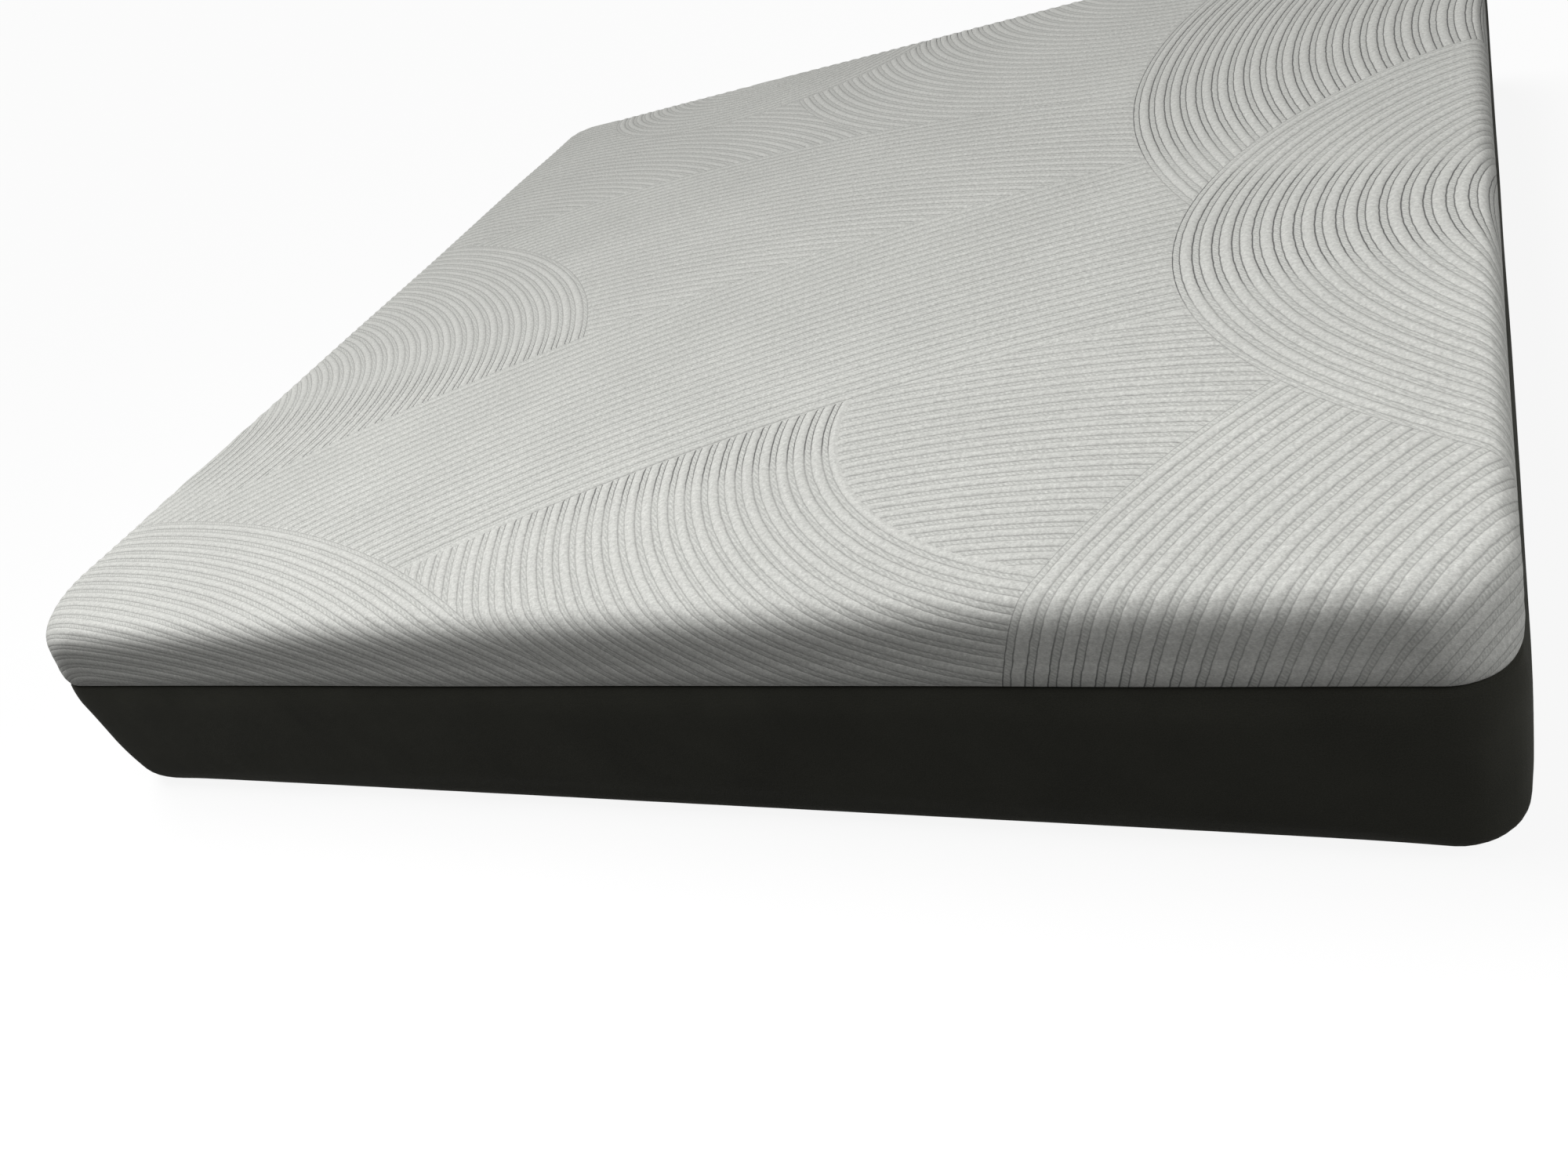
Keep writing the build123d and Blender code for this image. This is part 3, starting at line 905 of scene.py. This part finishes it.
def topKnit():
    # Heathered knit: pale padded bands, twill bands sunk between them, and a groove beside each, with painted
    # shadow in the grooves where the rings run straight across
    look = topKnitLook
    material, tree, shader = newMaterial("topKnit", look["roughness"], gloss=look["gloss"])
    place = addNode(tree, "UVMap", uv_map="cloth").outputs[0]
    rings, across = rippleRings(tree, place)
    waver = calc(tree, "MULTIPLY_ADD", noise(tree, place, look["waverScale"], detail=2), look["waver"], rings)
    share = calc(tree, "FRACT", calc(tree, "SUBTRACT", waver, look["waver"] / 2))

    tones = [look[key] for key in ("narrow", "narrow", "wide", "wide")]
    band = stops(tree, share, *zip(look["bandEdges"], tones))
    twill = ribs(tree, place, look["twillScale"], look["twillWaver"], "DIAGONAL")
    twilled = blendColours(tree, 1.0, band, stops(tree, twill, *look["twillTones"]), "MULTIPLY")
    band = blendColours(tree, stops(tree, share, *look["twillPlace"]), band, twilled)
    inGroove = stops(tree, share, *look["outerGroove"], *look["innerGroove"], *look["nextGroove"])
    # Painted shadow: grooves darken where the rings run straight across, standing in for shade cast into them
    # by light from one side
    paintedShadowShare = stops(tree, across, *look["opening"])
    groove = blendColours(tree, paintedShadowShare, look["grooveTone"], look["groovePaintedShadow"])
    colour = blendColours(tree, inGroove, band, groove)
    mottle = stops(tree, noise(tree, place, look["mottleScale"], detail=3), *look["mottle"])
    flecked = stretched(tree, place, look["fleckShape"])
    fleck = stops(tree, noise(tree, flecked, look["fleckScale"], detail=3), *look["fleck"])
    cloud = stops(tree, noise(tree, place, look["cloudScale"], detail=3), *look["cloud"])
    for layer in (mottle, fleck, cloud):
        colour = blendColours(tree, 1.0, colour, layer, "MULTIPLY")
    tree.links.new(colour, shader.inputs["Base Color"])

    form = stops(tree, share, *look["narrowForm"], *look["wideForm"], smooth=True)
    yarn = noise(tree, stretched(tree, place, look["yarnShape"]), look["yarnScale"], detail=2)
    height = calc(tree, "MULTIPLY_ADD", yarn, look["yarnRise"], form)
    level = addNode(tree, "SeparateXYZ", [(0, objectPlace(tree))]).outputs[2]
    strength = stops(tree, level, (skirtTop, look["reliefOnSkirt"]), (fullFrom, look["reliefOnTop"]))
    raiseSurface(tree, shader, height, look["relief"], strength)
    return material


# More grain is finer, and the depth is in metres
plainCloths = {
    "borderKnit": {"colour": (0.029, 0.029, 0.0235), "grain": 260, "depth": 0.0006},
    "undersideCloth": {"colour": (0.030, 0.030, 0.033), "grain": 180, "depth": 0.0008},
    "sewingThread": {"colour": (0.030, 0.030, 0.031), "grain": 800, "depth": 0.0002},
    "wovenTape": {"colour": (0.018, 0.018, 0.019), "grain": 420, "depth": 0.0003},
    "sockKnit": {"colour": (0.75, 0.74, 0.71), "grain": 240, "depth": 0.0004, "source": "Object"},
    "bindingTape": {"colour": (0.05, 0.05, 0.055), "grain": 500, "depth": 0.0003, "source": "Object"},
}


def plainKnit(name):
    # Plain fine knit: rows of small loops with a slightly uneven dye
    look = plainCloths[name]
    material, tree, shader = newMaterial(name, roughness=0.95, gloss=0.12)
    place = addNode(tree, "TexCoord").outputs[look.get("source", "UV")]
    loops = ribs(tree, place, look["grain"], waver=1.5, heading="Y")
    patch = noise(tree, place, scale=9, detail=3)
    yarn = noise(tree, place, scale=700, detail=2)
    dark, pale = (tuple(share * c for c in look["colour"]) for share in (0.72, 1.35))
    dye = calc(tree, "MULTIPLY_ADD", patch, 0.5, calc(tree, "MULTIPLY", yarn, 0.5))
    tree.links.new(stops(tree, dye, (0.3, dark), (0.7, pale)), shader.inputs["Base Color"])
    height = calc(tree, "MULTIPLY_ADD", loops, 0.5, yarn)
    raiseSurface(tree, shader, height, look["depth"], strength=0.6)
    return material


foams = {
    "cooling_foam": (0.55, 0.68, 0.76),
    "memory_foam": (0.82, 0.80, 0.74),
    "transition_foam": (0.80, 0.81, 0.82),
    "support_core": (0.70, 0.71, 0.72),
}


def foamMaterial(name, colour):
    # Open-cell foam: small pits, painted shade that darkens the colour in each pit, and a slightly mottled
    # tone
    material, tree, shader = newMaterial(name, roughness=0.95, gloss=0.2)
    place = objectPlace(tree)
    cells = addNode(tree, "TexVoronoi", [("Vector", place), ("Scale", 420)]).outputs[0]
    dull = tuple(0.92 * c for c in colour)
    tone = stops(tree, noise(tree, place, scale=14, detail=4), (0.3, dull), (0.7, colour))
    # Painted shade: the colour darkens in each pit, where shade would fall
    pitShadedTone = blendColours(tree, 1.0, tone, stops(tree, cells, (0.0, 0.75), (0.5, 1.0)), "MULTIPLY")
    tree.links.new(pitShadedTone, shader.inputs["Base Color"])
    raiseSurface(tree, shader, cells, distance=0.0008, strength=0.5)
    return material


zipLook = {
    "enamel": (0.016, 0.016, 0.018),
    "enamelWorn": (0.05, 0.05, 0.052),
    "enamelRoughness": ((0.3, 0.30), (0.7, 0.48)),
    "nylonDark": (0.014, 0.014, 0.015),
    "nylonPale": (0.034, 0.034, 0.037),
}


def zipPaint():
    # Black enamel on die-cast metal, a little worn and uneven
    material, tree, shader = newMaterial("zipPaint", roughness=0.38, metallic=0.3)
    wear = noise(tree, objectPlace(tree), scale=900, detail=4)
    worn = stops(tree, wear, (0.35, zipLook["enamel"]), (0.72, zipLook["enamelWorn"]))
    tree.links.new(worn, shader.inputs["Base Color"])
    tree.links.new(stops(tree, wear, *zipLook["enamelRoughness"]), shader.inputs["Roughness"])
    raiseSurface(tree, shader, wear, distance=0.0001, strength=0.3)
    return material


def nylon():
    # Drawn nylon wire, streaked along its run
    material, tree, shader = newMaterial("nylonCoil", roughness=0.45)
    drawn = noise(tree, stretched(tree, objectPlace(tree), (1, 4, 4)), scale=500, detail=2)
    streaks = stops(tree, drawn, (0.3, zipLook["nylonDark"]), (0.7, zipLook["nylonPale"]))
    tree.links.new(streaks, shader.inputs["Base Color"])
    raiseSurface(tree, shader, drawn, distance=0.00008, strength=0.3)
    return material


def dress(obj, material):
    obj.data.materials.clear()
    obj.data.materials.append(material)


def dressSolid(node, material):
    for spot in nodes[node].material_slots:
        spot.material = material


dress(topPanel, topKnit())
dress(borderBand, plainKnit("borderKnit"))
dress(underPanel, plainKnit("undersideCloth"))
sewn = [(stitches, plainKnit("sewingThread")), (tapes, plainKnit("wovenTape")), (coils, nylon())]
for pieces, look in sewn:
    for piece in pieces:
        dress(piece, look)
metal = zipPaint()
for node in ("zip_slider", "zip_pull", "zip_top_stop", "zip_bottom_stop"):
    dressSolid(node, metal)
for node, colour in foams.items():
    dressSolid(node, foamMaterial(node + "Look", colour))
dressSolid("fire_sock", plainKnit("sockKnit"))
dressSolid("seam_tape", plainKnit("bindingTape"))
print("materials:", len(bpy.data.materials))

# White floor that keeps a soft shadow, soft sun from above, and a soft box at each near corner
studio = {
    "floorSize": 300,
    "floorDrop": 0.0005,
    "floorSeen": 0.97,
    "floorBounce": 0.16,  # what the floor gives back to the mattress
    "floorGrain": 0.01,
    "floorGlow": 0.9,
    "sunPower": 2.1,
    "sunWidth": 28,  # width and tilt in degrees
    "sunTilt": (-14, -23, 0),
    "boxes": [
        {"power": 22, "size": (2.0, 0.8), "place": (-0.70, -1.20, 2.0), "facing": (-0.70, -1.20, 0)},
        {"power": 15, "size": (1.2, 1.2), "place": (2.2, -1.3, 1.4), "facing": (0.9, -0.5, 0.3)},
    ],
    "fill": 0.08,
}
scene.view_settings.view_transform = "Standard"
square = np.array([[-1, -1, 0], [1, -1, 0], [1, 1, 0], [-1, 1, 0]])
corners = square * studio["floorSize"] - [0, 0, studio["floorDrop"]]
floor = makeMesh("floor", corners, np.array([[0, 1, 2, 3]]))


def seenDirectly(tree):
    # Seen by the camera or in a shiny surface, and not only lighting the mattress
    rays = addNode(tree, "LightPath").outputs
    mirrored = calc(tree, "MAXIMUM", rays["Is Glossy Ray"], rays["Is Transmission Ray"])
    return calc(tree, "MAXIMUM", rays["Is Camera Ray"], mirrored)


def mixShaders(tree, share, first, second):
    return addNode(tree, "MixShader", [(0, share), (1, first.outputs[0]), (2, second.outputs[0])])


def hangLight(name, kind, power):
    light = bpy.data.objects.new(name, bpy.data.lights.new(name, kind))
    light.data.energy = power
    scene.collection.objects.link(light)
    return light


white = (1, 1, 1, 1)
paleFloor = bpy.data.materials.new("paleFloor")
paleFloor.use_nodes = True
tree = paleFloor.node_tree
tree.nodes.clear()
grain = noise(tree, objectPlace(tree), scale=3, detail=3)
diffuse = []
for dull in (studio["floorBounce"], studio["floorSeen"]):
    tone = stops(tree, grain, (0.3, dull), (0.7, dull + studio["floorGrain"]))
    diffuse.append(addNode(tree, "BsdfDiffuse", [(0, tone)]))
bounce, shade = diffuse
glow = addNode(tree, "Emission", [(0, white), (1, 1.0)])
seen = mixShaders(tree, studio["floorGlow"], shade, glow)
whole = mixShaders(tree, seenDirectly(tree), bounce, seen)
addNode(tree, "OutputMaterial", [(0, whole.outputs[0])])
dress(floor, paleFloor)

sun = hangLight("softSun", "SUN", studio["sunPower"])
sun.data.angle = math.radians(studio["sunWidth"])
sun.rotation_euler = [math.radians(tilt) for tilt in studio["sunTilt"]]
for lamp in studio["boxes"]:
    box = hangLight("softBox", "AREA", lamp["power"])
    box.data.shape = "RECTANGLE"
    box.data.size, box.data.size_y = lamp["size"]
    box.location = lamp["place"]
    aim = Vector(lamp["facing"]) - Vector(lamp["place"])
    box.rotation_euler = aim.to_track_quat("-Z", "Y").to_euler()
scene.world = bpy.data.worlds.new("studio")
scene.world.use_nodes = True
tree = scene.world.node_tree
tree.nodes.clear()
dim = addNode(tree, "Background", [(0, white), (1, studio["fill"])])
bright = addNode(tree, "Background", [(0, white), (1, 1.0)])
mixed = mixShaders(tree, seenDirectly(tree), dim, bright)
addNode(tree, "OutputWorld", [(0, mixed.outputs[0])])
print("floor and light done")

# Camera at the photograph's place
view = {
    "place": (0.9913, -1.8417, 1.0850),
    "right": (0.87573, 0.34639, -0.33631),
    "up": (0.03612, 0.64763, 0.76110),
    "sensorWidth": 36,
    "lens": 29.62,
    "farthest": 1000,
}
camera = bpy.data.objects.new("camera", bpy.data.cameras.new("camera"))
scene.collection.objects.link(camera)
right, up = Vector(view["right"]), Vector(view["up"])
turned = Matrix((right, up, right.cross(up))).transposed().to_4x4()
camera.matrix_world = Matrix.Translation(view["place"]) @ turned
camera.data.sensor_fit = "HORIZONTAL"
camera.data.sensor_width = view["sensorWidth"]
camera.data.lens = view["lens"]
camera.data.clip_end = view["farthest"]
scene.camera = camera
print("camera set")
